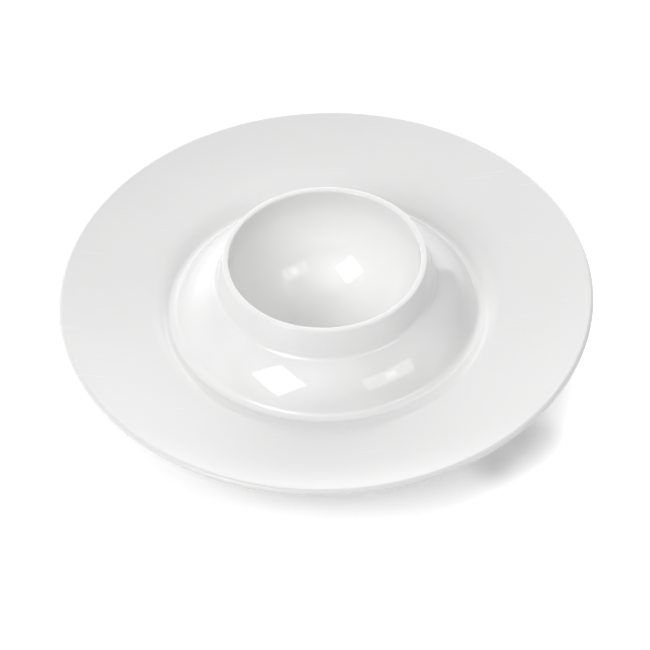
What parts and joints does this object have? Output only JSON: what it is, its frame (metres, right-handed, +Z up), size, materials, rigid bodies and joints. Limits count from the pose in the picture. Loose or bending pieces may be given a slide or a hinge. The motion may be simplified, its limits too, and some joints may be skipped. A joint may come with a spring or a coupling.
{
  "type": "egg cup with tray",
  "caption": "White egg cup made in one with a broad round tray: a round bowl on a low dome, a groove round the dome, and a shallow rim that stands on a foot ring.",
  "frame": {"origin": "centre of the foot ring, on the table", "axes": "+Z up along the axis of the cup; X and Y lie in the table and are interchangeable, because the object is round"},
  "size_m": [0.13, 0.13, 0.03],
  "materials": {
    "porcelain_body": "matte",
    "cup_glaze": "gloss",
    "tray_glaze": "satin",
    "base_glaze": "gloss"
  },
  "bodies": {
    "root": {"porcelain_body": "porcelain_body", "cup_glaze": "cup_glaze", "tray_glaze": "tray_glaze", "base_glaze": "base_glaze"}
  },
  "joints": []
}
